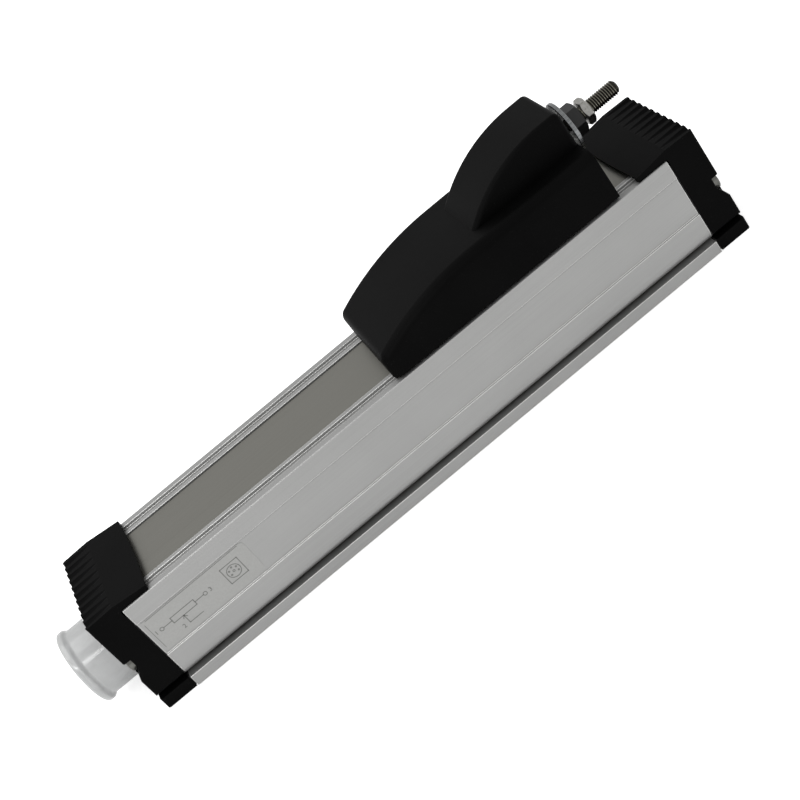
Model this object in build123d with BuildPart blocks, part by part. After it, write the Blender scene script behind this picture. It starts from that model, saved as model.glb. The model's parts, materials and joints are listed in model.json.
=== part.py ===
from build123d import *
from math import cos, radians, sin, sqrt
import os

os.makedirs("parts", exist_ok=True)

# Linear potentiometer with a 100 mm stroke. X runs along the housing, with the
# connector at -X, Z is up, and the origin is the centre of the housing's base.

# Travel and lengths along the housing
stroke = 100.0
stroke_reserve = 0.5
slider_length = 85.6
rest_margin = 5.8
hood_reach = 10.8
gasket_thickness = 0.6
cap_thickness = 11.0
running_gap = 0.05
seat_gap = 0.1
overcut = 1.0

# Extruded housing section
profile_width = 43.2
profile_height = 37.3
floor_thickness = 6.0
wall_thickness = 2.0
profile_corner = 0.4
panel_low = 16.0
panel_top_margin = 6.6
panel_depth = 0.5
groove_low = 4.3
groove_round = 4.4
groove_step = 0.6
guide_near = 15.5
guide_far = 18.8
guide_depth = 1.0
guide_draft = 0.2
lip_half_width = 13.9
lip_thickness = 2.0
upper_half_width = 14.9
lower_half_width = 12.6
channel_web = 1.5
slot_web = 1.0

# Cap screws and the ports that they go into
screw_y = 15.75
screw_z = 19.2
screw_radius = 2.0
screw_depth = 10.0
screw_head_radius = 3.5
screw_head_height = 4.0
screw_head_chamfer = 0.3
screw_key_radius = 1.7
screw_key_depth = 2.2

# Steel cover band
band_half_width = 13.2
band_thickness = 0.35
band_sink = 0.4
band_tail = 5.4

# End caps
cap_half_width = 20.97
cap_edge_rise = 2.8
cap_ridge_rise = 3.1
hood_tip_rise = 1.7
hood_crown = 0.7
hood_clearance = 1.1
hood_foot_inner = 18.9
cap_corner = 0.8
rib_length = 10.0
rib_pitch = 4.1
rib_count = 10
rib_round = 1.5
rib_depth = 1.0
rib_rise = 1.1
pocket_radius = 3.9
head_inset = 0.2
notch_depth = 2.6
notch_top = 3.2
notch_floor = 0.5
notch_foot = 5.6
cap_cavity_half_width = 12.0
cap_cavity_low = 7.0
cap_shelf = 1.6
cap_cavity_depth = 5.0
band_pocket_depth = 5.8

# Band clamps inside the caps
anchor_length = 4.6
anchor_height = 3.8
clamp_thickness = 1.0
clamp_screw_y = 8.0
clamp_screw_radius = 1.0
clamp_screw_length = 3.6
clamp_screw_head = 1.9

# Track board
board_bottom = 22.35
board_thickness = 1.6
board_half_width = 15.4
board_left_inset = 6.1
board_right_inset = 2.1
track_thickness = 0.1
track_width = 6.0
track_y = 6.0
track_margin = 17.0
terminal_inset = 4.0
terminal_radius = 0.5
terminal_pitch = 5.0
terminal_drop = 2.0
terminal_reach = 2.6
terminal_bend = 1.0

# Connector on the left cap
connector_z = 18.1
connector_flange_radius = 10.8
connector_flange_length = 3.0
connector_thread_radius = 8.0
connector_length = 12.3
connector_body_radius = 7.0
connector_tail = 8.8
connector_chamfer = 0.5
socket_radius = 6.6
insert_radius = 6.0
insert_rim = 1.5
insert_face = 2.8
pin_radius = 0.75
pin_circle = 3.5
pin_length = 7.5
pin_tail = 1.5
pin_angle = 60.0
pin_round = 0.45
nut_radius = 9.2
nut_thickness = 2.2
oring_radius = 0.6
oring_centre = 9.4
wire_radius = 0.55
wire_lead = 2.6
wire_bend = 2.9

# Dust cap
dust_radius = 12.3
dust_length = 14.4
dust_flange_radius = 13.3
dust_flange = 2.0
dust_end = 1.2
dust_corner = 0.7

# Slider body
slider_half_width = 21.0
slider_clearance = 0.8
nose_height = 8.1
shoulder_height = 17.4
dome_run = 40.6
slider_round = 3.2
slider_wall = 2.5
hump_half_width = 12.5
hump_length = 40.5
hump_run = 33.5
hump_height = 12.8
hump_round = 1.6
hump_end_round = 2.0
base_thickness = 2.0
base_screw_x = 18.0
base_screw_y = 15.6
base_screw_radius = 1.25
base_screw_head = 2.4
base_screw_length = 7.0
boss_radius = 3.0
boss_height = 7.0

# Guide shoes, drag blades and wipers
shoe_length = 14.0
shoe_inset = 0.3
shoe_round = 0.7
shoe_peg_length = 8.0
shoe_peg_inset = 1.0
shoe_peg_width = 2.0
shoe_peg_height = 1.4
blade_thickness = 0.3
blade_length = 40.0
blade_gap = 0.2
blade_floor = 2.8
carrier_length = 46.0
wiper_drop = 3.55
carrier_gap = 0.3
wiper_thickness = 0.2
wiper_width = 1.0
wiper_pitch = 1.5
wiper_fingers = 4
wiper_plate = 8.0
wiper_reach = 9.0
wiper_toe = 1.2

# Ball coupling on the slider's end
ball_inset = 6.0
ball_height = 18.4
ball_radius = 4.0
cup_radius = 5.8
cup_back = 3.6
cup_front = 2.6
cup_gap = 0.03
seat_radius_gap = 0.05
socket_body_radius = 7.5
socket_back = 7.0
socket_mouth = 4.6
socket_bore_gap = 0.02
mouth_chamfer = 0.5
boss_wall = 2.1
neck_radius = 2.0
stud_radius = 2.5
stud_shoulder = 1.6
stud_reach = 22.0
stud_chamfer = 0.6
thread_core_radius = 2.05
thread_start = 0.2
disc_radius = 8.75
disc_thickness = 1.5
disc_chamfer = 0.25
spacer_nut_width = 9.5
spacer_nut_thickness = 4.5
hex_nut_width = 8.0
hex_nut_thickness = 2.7
nut_spacing = 0.9
nut_face_inset = 0.15
nut_bevel = 0.55

# Wiring label in the recessed panel
label_inset = 1.1
label_length = 38.5
label_margin = 0.75
label_thickness = 0.1
label_corner = 1.6

# Planes and levels that several pieces share
profile_length = slider_length + stroke + 2 * stroke_reserve + 2 * hood_reach
profile_half = profile_length / 2
side = profile_width / 2
panel_y = side - panel_depth
panel_high = profile_height - panel_top_margin
groove_high = groove_low + groove_step + groove_round
cap_inner = profile_half + gasket_thickness
cap_outer = cap_inner + cap_thickness
hood_tip = profile_half - hood_reach
lip_bottom = profile_height - lip_thickness
band_top = profile_height - band_sink
band_bottom = band_top - band_thickness
band_end = cap_inner + band_tail
anchor_bottom = band_bottom - anchor_height
hood_roof = profile_height + hood_clearance
cap_edge_height = profile_height + cap_edge_rise
cap_ridge_height = profile_height + cap_ridge_rise
hood_tip_height = profile_height + hood_tip_rise
cap_cavity_high = anchor_bottom - cap_shelf
board_left = board_left_inset - profile_half
board_right = profile_half - board_right_inset
board_top = board_bottom + board_thickness
track_top = board_top + track_thickness
head_seat = cap_outer - head_inset - screw_head_height
slider_rest = stroke / 2 - rest_margin
slider_left = slider_rest - slider_length / 2
slider_right = slider_rest + slider_length / 2
slider_bottom = profile_height + slider_clearance
base_top = slider_bottom + base_thickness
shoulder_z = slider_bottom + shoulder_height
hump_x = slider_right - hump_length
ball_x = slider_right - ball_inset
ball_z = slider_bottom + ball_height
carrier_top = lip_bottom - carrier_gap
carrier_bottom = track_top + wiper_drop
blade_low = carrier_bottom + blade_floor
label_left = label_inset - profile_half
label_right = label_left + label_length


def side_groove(plane):
    """Mounting groove on both sides: flat floor, short back wall and a round shoulder above."""
    with BuildSketch(plane) as groove:
        with BuildLine():
            floor = Line((side + overcut, groove_low), (side - groove_round, groove_low))
            back = Line(floor @ 1, (side - groove_round, groove_low + groove_step))
            shoulder = RadiusArc(back @ 1, (side, groove_high), -groove_round)
            Polyline(shoulder @ 1, (side + overcut, groove_high), floor @ 0)
        make_face()
        mirror(about=Plane.YZ)
    return groove.sketch


def screw_holes(plane, radius):
    """The two cap screw holes, seen along the housing."""
    with BuildSketch(plane) as holes:
        with Locations((-screw_y, screw_z), (screw_y, screw_z)):
            Circle(radius)
    return holes.sketch


# Extruded aluminium profile
with BuildPart() as profile:
    with BuildSketch(Plane.YZ.offset(-profile_half)) as section:
        with BuildLine():
            Polyline(
                (0, 0),
                (side, 0),
                (side, panel_low - panel_depth / 2),
                (panel_y, panel_low),
                (panel_y, panel_high),
                (side, panel_high),
                (side, profile_height),
                (guide_far, profile_height),
                (guide_far - guide_draft, profile_height - guide_depth),
                (guide_near + guide_draft, profile_height - guide_depth),
                (guide_near, profile_height),
                (lip_half_width, profile_height),
                (lip_half_width, lip_bottom),
                (upper_half_width, lip_bottom),
                (upper_half_width, board_top + running_gap),
                (board_half_width + running_gap, board_top + running_gap),
                (board_half_width + running_gap, board_bottom),
                (lower_half_width, board_bottom),
                (lower_half_width, floor_thickness),
                (0, floor_thickness),
                (0, 0),
            )
        make_face()
        outer = section.vertices().group_by(Axis.X)[-1].sort_by(Axis.Y)
        fillet([outer[0], outer[-1]], profile_corner)
        chamber_inner = upper_half_width + channel_web
        chamber_outer = panel_y - wall_thickness
        chamber_low = board_top + slot_web
        chamber_high = profile_height - guide_depth - wall_thickness
        with Locations(((chamber_inner + chamber_outer) / 2, (chamber_low + chamber_high) / 2)):
            RectangleRounded(chamber_outer - chamber_inner, chamber_high - chamber_low,
                             profile_corner, mode=Mode.SUBTRACT)
        low_chamber_bottom = groove_high + wall_thickness
        low_chamber_top = screw_z - screw_radius - wall_thickness
        low_chamber_inner = lower_half_width + wall_thickness
        low_chamber_outer = side - wall_thickness
        with Locations(((low_chamber_inner + low_chamber_outer) / 2,
                        (low_chamber_bottom + low_chamber_top) / 2)):
            RectangleRounded(low_chamber_outer - low_chamber_inner,
                             low_chamber_top - low_chamber_bottom,
                             profile_corner, mode=Mode.SUBTRACT)
        mirror(about=Plane.YZ)
    extrude(amount=profile_length)
    extrude(side_groove(Plane.YZ.offset(-profile_half)), amount=profile_length, mode=Mode.SUBTRACT)
    extrude(screw_holes(Plane.YZ.offset(-profile_half), screw_radius + running_gap),
            amount=profile_length, mode=Mode.SUBTRACT)
profile.part.label = "profile"
export_step(profile.part, "parts/profile.step")

# Steel band that closes the slot, held at both ends inside the caps
clamp_x = cap_inner + seat_gap + anchor_length / 2
with BuildPart() as cover_band:
    with BuildSketch(Plane.XY.offset(band_bottom)):
        Rectangle(2 * band_end, 2 * band_half_width)
        with GridLocations(2 * clamp_x, 2 * clamp_screw_y, 2, 2):
            Circle(clamp_screw_radius + seat_gap, mode=Mode.SUBTRACT)
    extrude(amount=band_thickness)
cover_band.part.label = "cover_band"
export_step(cover_band.part, "parts/cover_band.step")


def end_cap(bore_radius):
    """Hooded end cap for the +X end, with a connector bore when bore_radius isn't zero."""
    ridge_x = cap_outer - rib_length
    with BuildPart() as cap:
        # Side outline: end block with a hood that reaches over the profile
        with BuildSketch(Plane.XZ):
            with BuildLine():
                Polyline(
                    (cap_inner, 0),
                    (cap_outer, 0),
                    (cap_outer, cap_edge_height),
                    (ridge_x, cap_ridge_height),
                    (hood_tip, hood_tip_height),
                    (hood_tip, profile_height),
                    (cap_inner, profile_height),
                    (cap_inner, 0),
                )
            make_face()
        extrude(amount=cap_half_width, both=True)
        fillet(cap.edges().filter_by(Axis.Z).group_by(Axis.X)[-1], cap_corner)
        # The hood's edge bulges towards the slider
        with BuildSketch(Plane.XY.offset(profile_height)):
            with BuildLine():
                edge = ThreePointArc(
                    (hood_tip + hood_crown, -cap_half_width),
                    (hood_tip, 0),
                    (hood_tip + hood_crown, cap_half_width),
                )
                Polyline(
                    edge @ 1,
                    (hood_tip - overcut, cap_half_width),
                    (hood_tip - overcut, -cap_half_width),
                    edge @ 0,
                )
            make_face()
        extrude(amount=cap_ridge_height - profile_height, mode=Mode.SUBTRACT)
        # Low arch under the hood: only its feet stand on the outer rails
        with BuildSketch(Plane.YZ.offset(hood_tip - overcut)):
            with Locations((0, profile_height + hood_clearance / 2)):
                Rectangle(2 * hood_foot_inner, hood_clearance)
        extrude(amount=cap_inner - hood_tip + overcut, mode=Mode.SUBTRACT)
        # Pocket for the band clamp
        with BuildSketch(Plane.YZ.offset(cap_inner)):
            with Locations((0, (anchor_bottom + hood_roof) / 2)):
                Rectangle(2 * (band_half_width + blade_gap), hood_roof - anchor_bottom)
        extrude(amount=band_pocket_depth, mode=Mode.SUBTRACT)
        # Inner cavity behind the connector and the wires
        with BuildSketch(Plane.YZ.offset(cap_inner)):
            with Locations((0, (cap_cavity_low + cap_cavity_high) / 2)):
                Rectangle(2 * cap_cavity_half_width, cap_cavity_high - cap_cavity_low)
        extrude(amount=cap_cavity_depth, mode=Mode.SUBTRACT)
        # Round pockets for the screw heads, with a sloping notch out to the side
        extrude(screw_holes(Plane.YZ.offset(cap_outer), pocket_radius),
                amount=head_seat - cap_outer, mode=Mode.SUBTRACT)
        notch_x = cap_outer - notch_depth
        for notch_plane in (Plane.XZ.offset(screw_y), Plane.XZ.offset(-cap_half_width - overcut)):
            with BuildSketch(notch_plane):
                with BuildLine():
                    Polyline(
                        (cap_outer + overcut, screw_z + notch_top),
                        (notch_x, screw_z + notch_top),
                        (notch_x, screw_z - notch_floor),
                        (cap_outer, screw_z - notch_foot),
                        (cap_outer + overcut, screw_z - notch_foot),
                        (cap_outer + overcut, screw_z + notch_top),
                    )
                make_face()
            extrude(amount=cap_half_width + overcut - screw_y, mode=Mode.SUBTRACT)
        extrude(screw_holes(Plane.YZ.offset(cap_inner), screw_radius + seat_gap),
                amount=cap_thickness, mode=Mode.SUBTRACT)
        extrude(side_groove(Plane.YZ.offset(cap_inner)), amount=cap_thickness,
                mode=Mode.SUBTRACT)
        # Round valleys that leave the ribs on the cap's top and run out towards the ridge
        valley_start = (cap_outer + overcut, 0, cap_edge_height + rib_round - rib_depth)
        valley_plane = Plane(origin=valley_start, x_dir=(0, 1, 0), z_dir=(-rib_length, 0, rib_rise))
        with BuildSketch(valley_plane):
            with GridLocations(rib_pitch, 1, rib_count, 1):
                Circle(rib_round)
        extrude(amount=rib_length + overcut, mode=Mode.SUBTRACT)
        if bore_radius > 0:
            with BuildSketch(Plane.YZ.offset(cap_inner)):
                with Locations((0, connector_z)):
                    Circle(bore_radius)
            extrude(amount=cap_thickness, mode=Mode.SUBTRACT)
    return cap


# Right end cap
right_cap = end_cap(0)
right_cap.part.label = "right_cap"
export_step(right_cap.part, "parts/right_cap.step")

# Left end cap, which carries the connector
with BuildPart() as left_cap:
    add(end_cap(connector_body_radius + running_gap).part.mirror(Plane.YZ))
left_cap.part.label = "left_cap"
export_step(left_cap.part, "parts/left_cap.step")

# Flat rubber gaskets between the profile and the caps
gasket_inset = profile_corner
for name, start in (("right_gasket", profile_half), ("left_gasket", -cap_inner)):
    with BuildPart() as gasket:
        with BuildSketch(Plane.YZ.offset(start)):
            with Locations((0, lip_bottom / 2)):
                Rectangle(2 * (cap_half_width - gasket_inset), lip_bottom - 2 * gasket_inset)
            with Locations((0, (floor_thickness + lip_bottom) / 2)):
                Rectangle(2 * lower_half_width, lip_bottom - floor_thickness, mode=Mode.SUBTRACT)
        extrude(amount=gasket_thickness)
        extrude(screw_holes(Plane.YZ.offset(start), screw_radius + seat_gap),
                amount=gasket_thickness, mode=Mode.SUBTRACT)
        extrude(side_groove(Plane.YZ.offset(start)), amount=gasket_thickness, mode=Mode.SUBTRACT)
    gasket.part.label = name
    export_step(gasket.part, f"parts/{name}.step")

# Socket head screws that hold the caps
with BuildPart() as right_cap_screws:
    extrude(screw_holes(Plane.YZ.offset(profile_half - screw_depth), screw_radius),
            amount=head_seat - profile_half + screw_depth)
    extrude(screw_holes(Plane.YZ.offset(head_seat), screw_head_radius), amount=screw_head_height)
    head_rims = right_cap_screws.edges().filter_by(GeomType.CIRCLE).group_by(Axis.X)[-1]
    chamfer(head_rims, screw_head_chamfer)
    with BuildSketch(Plane.YZ.offset(head_seat + screw_head_height)):
        with Locations((-screw_y, screw_z), (screw_y, screw_z)):
            RegularPolygon(screw_key_radius, 6)
    extrude(amount=-screw_key_depth, mode=Mode.SUBTRACT)
right_cap_screws.part.label = "right_cap_screws"
export_step(right_cap_screws.part, "parts/right_cap_screws.step")

with BuildPart() as left_cap_screws:
    add(right_cap_screws.part.mirror(Plane.YZ))
left_cap_screws.part.label = "left_cap_screws"
export_step(left_cap_screws.part, "parts/left_cap_screws.step")

# Bars under the band's ends and plates over them
for name, centre in (("right", clamp_x), ("left", -clamp_x)):
    with BuildPart() as anchor:
        with BuildSketch(Plane.XY.offset(anchor_bottom)):
            with Locations((centre, 0)):
                Rectangle(anchor_length, 2 * band_half_width)
                with GridLocations(1, 2 * clamp_screw_y, 1, 2):
                    Circle(clamp_screw_radius + running_gap, mode=Mode.SUBTRACT)
        extrude(amount=anchor_height)
    anchor.part.label = name + "_band_anchor"
    export_step(anchor.part, f"parts/{name}_band_anchor.step")
    with BuildPart() as clamp:
        with BuildSketch(Plane.XY.offset(band_top)):
            with Locations((centre, 0)):
                Rectangle(anchor_length, 2 * band_half_width)
        extrude(amount=clamp_thickness)
        with Locations((centre, -clamp_screw_y, band_top + clamp_thickness),
                       (centre, clamp_screw_y, band_top + clamp_thickness)):
            CounterSinkHole(clamp_screw_radius + running_gap, clamp_screw_head + running_gap)
    clamp.part.label = name + "_band_clamp"
    export_step(clamp.part, f"parts/{name}_band_clamp.step")

# Countersunk screws through the clamp plates
with BuildPart() as band_clamp_screws:
    clamp_top = band_top + clamp_thickness
    head_depth = clamp_screw_head - clamp_screw_radius
    with GridLocations(2 * clamp_x, 2 * clamp_screw_y, 2, 2):
        with Locations((0, 0, clamp_top - clamp_screw_length / 2)):
            Cylinder(clamp_screw_radius, clamp_screw_length)
        with Locations((0, 0, clamp_top - head_depth / 2)):
            Cone(clamp_screw_radius, clamp_screw_head, head_depth)
band_clamp_screws.part.label = "band_clamp_screws"
export_step(band_clamp_screws.part, "parts/band_clamp_screws.step")

# Board with the two printed tracks
terminal_x = board_left + terminal_inset
terminal_ys = (-terminal_pitch, 0, terminal_pitch)
with BuildPart() as track_board:
    with BuildSketch(Plane.XY.offset(board_bottom)):
        with Locations(((board_left + board_right) / 2, 0)):
            Rectangle(board_right - board_left, 2 * board_half_width)
        with Locations(*[(terminal_x, y) for y in terminal_ys]):
            Circle(terminal_radius + running_gap, mode=Mode.SUBTRACT)
    extrude(amount=board_thickness)
track_board.part.label = "track_board"
export_step(track_board.part, "parts/track_board.step")

track_length = stroke + 2 * track_margin
for name, y in (("resistive_track", -track_y), ("collector_track", track_y)):
    with BuildPart() as track:
        with BuildSketch(Plane.XY.offset(board_top)):
            with Locations((0, y)):
                SlotOverall(track_length, track_width)
        extrude(amount=track_thickness)
    track.part.label = name
    export_step(track.part, f"parts/{name}.step")

# Bent solder terminals through the board
terminal_low = board_bottom - terminal_drop
wire_start = terminal_x - terminal_reach
with BuildPart() as track_terminals:
    for y in terminal_ys:
        with BuildLine() as terminal_path:
            FilletPolyline(
                (terminal_x, y, track_top + terminal_bend),
                (terminal_x, y, terminal_low),
                (wire_start, y, terminal_low),
                radius=terminal_bend,
            )
        with BuildSketch(Plane(terminal_path.line @ 0, z_dir=terminal_path.line % 0)):
            Circle(terminal_radius)
        sweep(path=terminal_path.line)
track_terminals.part.label = "track_terminals"
export_step(track_terminals.part, "parts/track_terminals.step")

# Connector pins, on an open circle of five
pin_angles = [-2 * pin_angle, -pin_angle, 0, pin_angle, 2 * pin_angle]
pin_places = [(pin_circle * sin(radians(a)), connector_z + pin_circle * cos(radians(a)))
              for a in pin_angles]
insert_front = -cap_outer - insert_face
connector_rear = -cap_outer + connector_tail
pin_rear = connector_rear + pin_tail
with BuildPart() as connector_pins:
    with BuildSketch(Plane.YZ.offset(insert_front - pin_length)):
        with Locations(*pin_places):
            Circle(pin_radius)
    extrude(amount=pin_rear - insert_front + pin_length)
    pin_tips = connector_pins.edges().filter_by(GeomType.CIRCLE).group_by(Axis.X)[0]
    fillet(pin_tips, pin_round)
connector_pins.part.label = "connector_pins"
export_step(connector_pins.part, "parts/connector_pins.step")

# Three wires from the terminals to the upper pins
with BuildPart() as lead_wires:
    for y, pin in zip(terminal_ys, pin_places[1:4]):
        with BuildLine() as wire_path:
            FilletPolyline(
                (wire_start, y, terminal_low),
                (wire_start - wire_lead, y, terminal_low),
                (pin_rear + wire_lead, pin[0], pin[1]),
                (pin_rear, pin[0], pin[1]),
                radius=wire_bend,
            )
        with BuildSketch(Plane(wire_path.line @ 0, z_dir=wire_path.line % 0)):
            Circle(wire_radius)
        sweep(path=wire_path.line)
lead_wires.part.label = "lead_wires"
export_step(lead_wires.part, "parts/lead_wires.step")

# Metal shell of the connector: flange, threaded collar and body through the cap
with BuildPart() as connector_shell:
    with BuildSketch(Plane.XZ) as shell_section:
        with BuildLine():
            flange_x = -cap_outer - connector_flange_length
            mouth_x = -cap_outer - connector_length
            rim_x = insert_front + insert_rim
            Polyline(
                (connector_rear, connector_z + insert_radius),
                (connector_rear, connector_z + connector_body_radius),
                (-cap_outer, connector_z + connector_body_radius),
                (-cap_outer, connector_z + connector_flange_radius),
                (flange_x, connector_z + connector_flange_radius),
                (flange_x, connector_z + connector_thread_radius),
                (mouth_x, connector_z + connector_thread_radius),
                (mouth_x, connector_z + socket_radius),
                (rim_x, connector_z + socket_radius),
                (rim_x, connector_z + insert_radius),
                (connector_rear, connector_z + insert_radius),
            )
        make_face()
    revolve(axis=Axis((0, 0, connector_z), (1, 0, 0)))
    mouth_edges = connector_shell.edges().filter_by(GeomType.CIRCLE).group_by(Axis.X)[0]
    chamfer(mouth_edges.sort_by(SortBy.RADIUS)[-1], connector_chamfer)
    # Groove in the flange's back for the sealing ring
    with BuildSketch(Plane.YZ.offset(-cap_outer)):
        with Locations((0, connector_z)):
            Circle(oring_centre + oring_radius + running_gap)
            Circle(oring_centre - oring_radius - running_gap, mode=Mode.SUBTRACT)
    extrude(amount=-2 * oring_radius, mode=Mode.SUBTRACT)
connector_shell.part.label = "connector_shell"
export_step(connector_shell.part, "parts/connector_shell.step")

# Plastic insert that carries the pins
with BuildPart() as connector_insert:
    with BuildSketch(Plane.YZ.offset(insert_front)):
        with Locations((0, connector_z)):
            Circle(socket_radius - running_gap)
    extrude(amount=insert_rim)
    with BuildSketch(Plane.YZ.offset(insert_front + insert_rim)):
        with Locations((0, connector_z)):
            Circle(insert_radius - running_gap)
    extrude(amount=connector_rear - insert_front - insert_rim)
    with BuildSketch(Plane.YZ.offset(insert_front)):
        with Locations(*pin_places):
            Circle(pin_radius + running_gap)
    extrude(amount=connector_rear - insert_front, mode=Mode.SUBTRACT)
connector_insert.part.label = "connector_insert"
export_step(connector_insert.part, "parts/connector_insert.step")

# Ring nut that holds the connector from inside the cap
with BuildPart() as connector_nut:
    with BuildSketch(Plane.YZ.offset(-cap_inner - cap_cavity_depth)):
        with Locations((0, connector_z)):
            RegularPolygon(nut_radius, 6, major_radius=False)
            Circle(connector_body_radius + running_gap, mode=Mode.SUBTRACT)
    extrude(amount=nut_thickness)
connector_nut.part.label = "connector_nut"
export_step(connector_nut.part, "parts/connector_nut.step")

# Sealing ring in the flange's groove
with BuildPart() as connector_oring:
    with BuildSketch(Plane.XZ):
        with Locations((-cap_outer - oring_radius, connector_z + oring_centre)):
            Circle(oring_radius)
    revolve(axis=Axis((0, 0, connector_z), (1, 0, 0)))
connector_oring.part.label = "connector_oring"
export_step(connector_oring.part, "parts/connector_oring.step")

# Soft dust cap pushed over the connector's flange
with BuildPart() as dust_cap:
    dust_rim = -cap_outer - running_gap
    dust_tip = -cap_outer - dust_length
    dust_bore = connector_flange_radius + running_gap
    with BuildSketch(Plane.XZ) as dust_section:
        with BuildLine():
            Polyline(
                (dust_rim, connector_z + dust_bore),
                (dust_rim, connector_z + dust_radius),
                (dust_tip + dust_flange, connector_z + dust_radius),
                (dust_tip + dust_flange, connector_z + dust_flange_radius),
                (dust_tip, connector_z + dust_flange_radius),
                (dust_tip, connector_z),
                (dust_tip + dust_end, connector_z),
                (dust_tip + dust_end, connector_z + dust_bore),
                (dust_rim, connector_z + dust_bore),
            )
        make_face()
    revolve(axis=Axis((0, 0, connector_z), (1, 0, 0)))
    outer_edges = dust_cap.edges().filter_by(GeomType.CIRCLE).group_by(SortBy.RADIUS)[-1]
    fillet(outer_edges, dust_corner)
dust_cap.part.label = "dust_cap"
export_step(dust_cap.part, "parts/dust_cap.step")

# Wiring label, a thin film in the front panel
with BuildPart() as wiring_label:
    with BuildSketch(Plane.XZ.offset(panel_y)) as film:
        with Locations(((label_left + label_right) / 2, (panel_low + panel_high) / 2)):
            Rectangle(label_right - label_left, panel_high - panel_low - 2 * label_margin)
        fillet(film.vertices().group_by(Axis.X)[-1], label_corner)
    extrude(amount=label_thickness)
wiring_label.part.label = "wiring_label"
export_step(wiring_label.part, "parts/wiring_label.step")

# Slider shell: a domed body, a hump over the ball joint, and a hollow underside
hump_top = shoulder_z + hump_height
hump_flat = hump_x + hump_run
with BuildPart() as hump:
    with BuildSketch(Plane.XZ):
        with BuildLine():
            crest = TangentArc((hump_flat, hump_top), (hump_x, shoulder_z), tangent=(-1, 0))
            Polyline(
                crest @ 1,
                (hump_x, shoulder_z - slider_wall),
                (slider_right, shoulder_z - slider_wall),
                (slider_right, hump_top),
                crest @ 0,
            )
        make_face()
    extrude(amount=hump_half_width, both=True)
    fillet(hump.edges().filter_by(Axis.Y).group_by(Axis.Z)[-1].sort_by(Axis.X)[-1], hump_end_round)
    top_edges = hump.faces().filter_by(Plane.XZ).edges().filter_by(
        lambda e: e.center().Z > shoulder_z and e.center().X < slider_right)
    fillet(top_edges, hump_round)

with BuildPart() as slider_shell:
    nose_z = slider_bottom + nose_height
    dome_end = slider_left + dome_run
    with BuildSketch(Plane.XZ):
        with BuildLine():
            dome = TangentArc((dome_end, shoulder_z), (slider_left, nose_z), tangent=(-1, 0))
            Polyline(
                dome @ 1,
                (slider_left, slider_bottom),
                (slider_right, slider_bottom),
                (slider_right, shoulder_z),
                dome @ 0,
            )
        make_face()
    extrude(amount=slider_half_width, both=True)
    nose_edges = slider_shell.faces().sort_by(Axis.X)[0].edges().filter_by(
        lambda e: e.center().Z > slider_bottom + running_gap)
    long_edges = slider_shell.faces().filter_by(Plane.XZ).edges().filter_by(
        lambda e: e.center().Z > nose_z and e.center().X < slider_right)
    fillet(nose_edges + long_edges, slider_round)
    add(hump.part)
    # Hollow underside that follows the dome
    cavity_x = slider_left + slider_wall
    cavity_end = slider_right - slider_wall
    with BuildSketch(Plane.XZ):
        with BuildLine():
            inner_dome = TangentArc((dome_end, shoulder_z - slider_wall),
                                    (cavity_x, nose_z - slider_wall), tangent=(-1, 0))
            Polyline(
                inner_dome @ 1,
                (cavity_x, slider_bottom),
                (cavity_end, slider_bottom),
                (cavity_end, shoulder_z - slider_wall),
                inner_dome @ 0,
            )
        make_face()
    extrude(amount=slider_half_width - slider_wall, both=True, mode=Mode.SUBTRACT)
    # Hollow hump, up to its own skin
    with BuildSketch(Plane.XZ):
        with BuildLine():
            inner_crest = TangentArc((hump_flat, hump_top - slider_wall),
                                     (hump_x + 2 * slider_wall, shoulder_z - slider_wall),
                                     tangent=(-1, 0))
            Polyline(
                inner_crest @ 1,
                (cavity_end, shoulder_z - slider_wall),
                (cavity_end, hump_top - slider_wall),
                inner_crest @ 0,
            )
        make_face()
    extrude(amount=hump_half_width - slider_wall, both=True, mode=Mode.SUBTRACT)
    # Screw bosses along the side walls
    with BuildSketch(Plane.XY.offset(base_top)):
        for boss_x in (slider_left + base_screw_x, slider_right - base_screw_x):
            with Locations((boss_x, -base_screw_y), (boss_x, base_screw_y)):
                Circle(boss_radius)
    extrude(amount=boss_height)
    with BuildSketch(Plane.XY.offset(base_top)):
        for boss_x in (slider_left + base_screw_x, slider_right - base_screw_x):
            with Locations((boss_x, -base_screw_y), (boss_x, base_screw_y)):
                Circle(base_screw_radius + running_gap)
    extrude(amount=boss_height, mode=Mode.SUBTRACT)
    # Boss and bore for the ball socket
    socket_depth = ball_inset + socket_back
    boss_outer = socket_body_radius + boss_wall
    with BuildSketch(Plane.YZ.offset(slider_right)):
        with Locations((0, ball_z)):
            Circle(boss_outer)
    extrude(amount=-socket_depth - slider_wall)
    with BuildSketch(Plane.YZ.offset(slider_right)):
        with Locations((0, ball_z)):
            Circle(socket_body_radius + socket_bore_gap)
    extrude(amount=-socket_depth, mode=Mode.SUBTRACT)
slider_shell.part.label = "slider_shell"
export_step(slider_shell.part, "parts/slider_shell.step")

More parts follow.
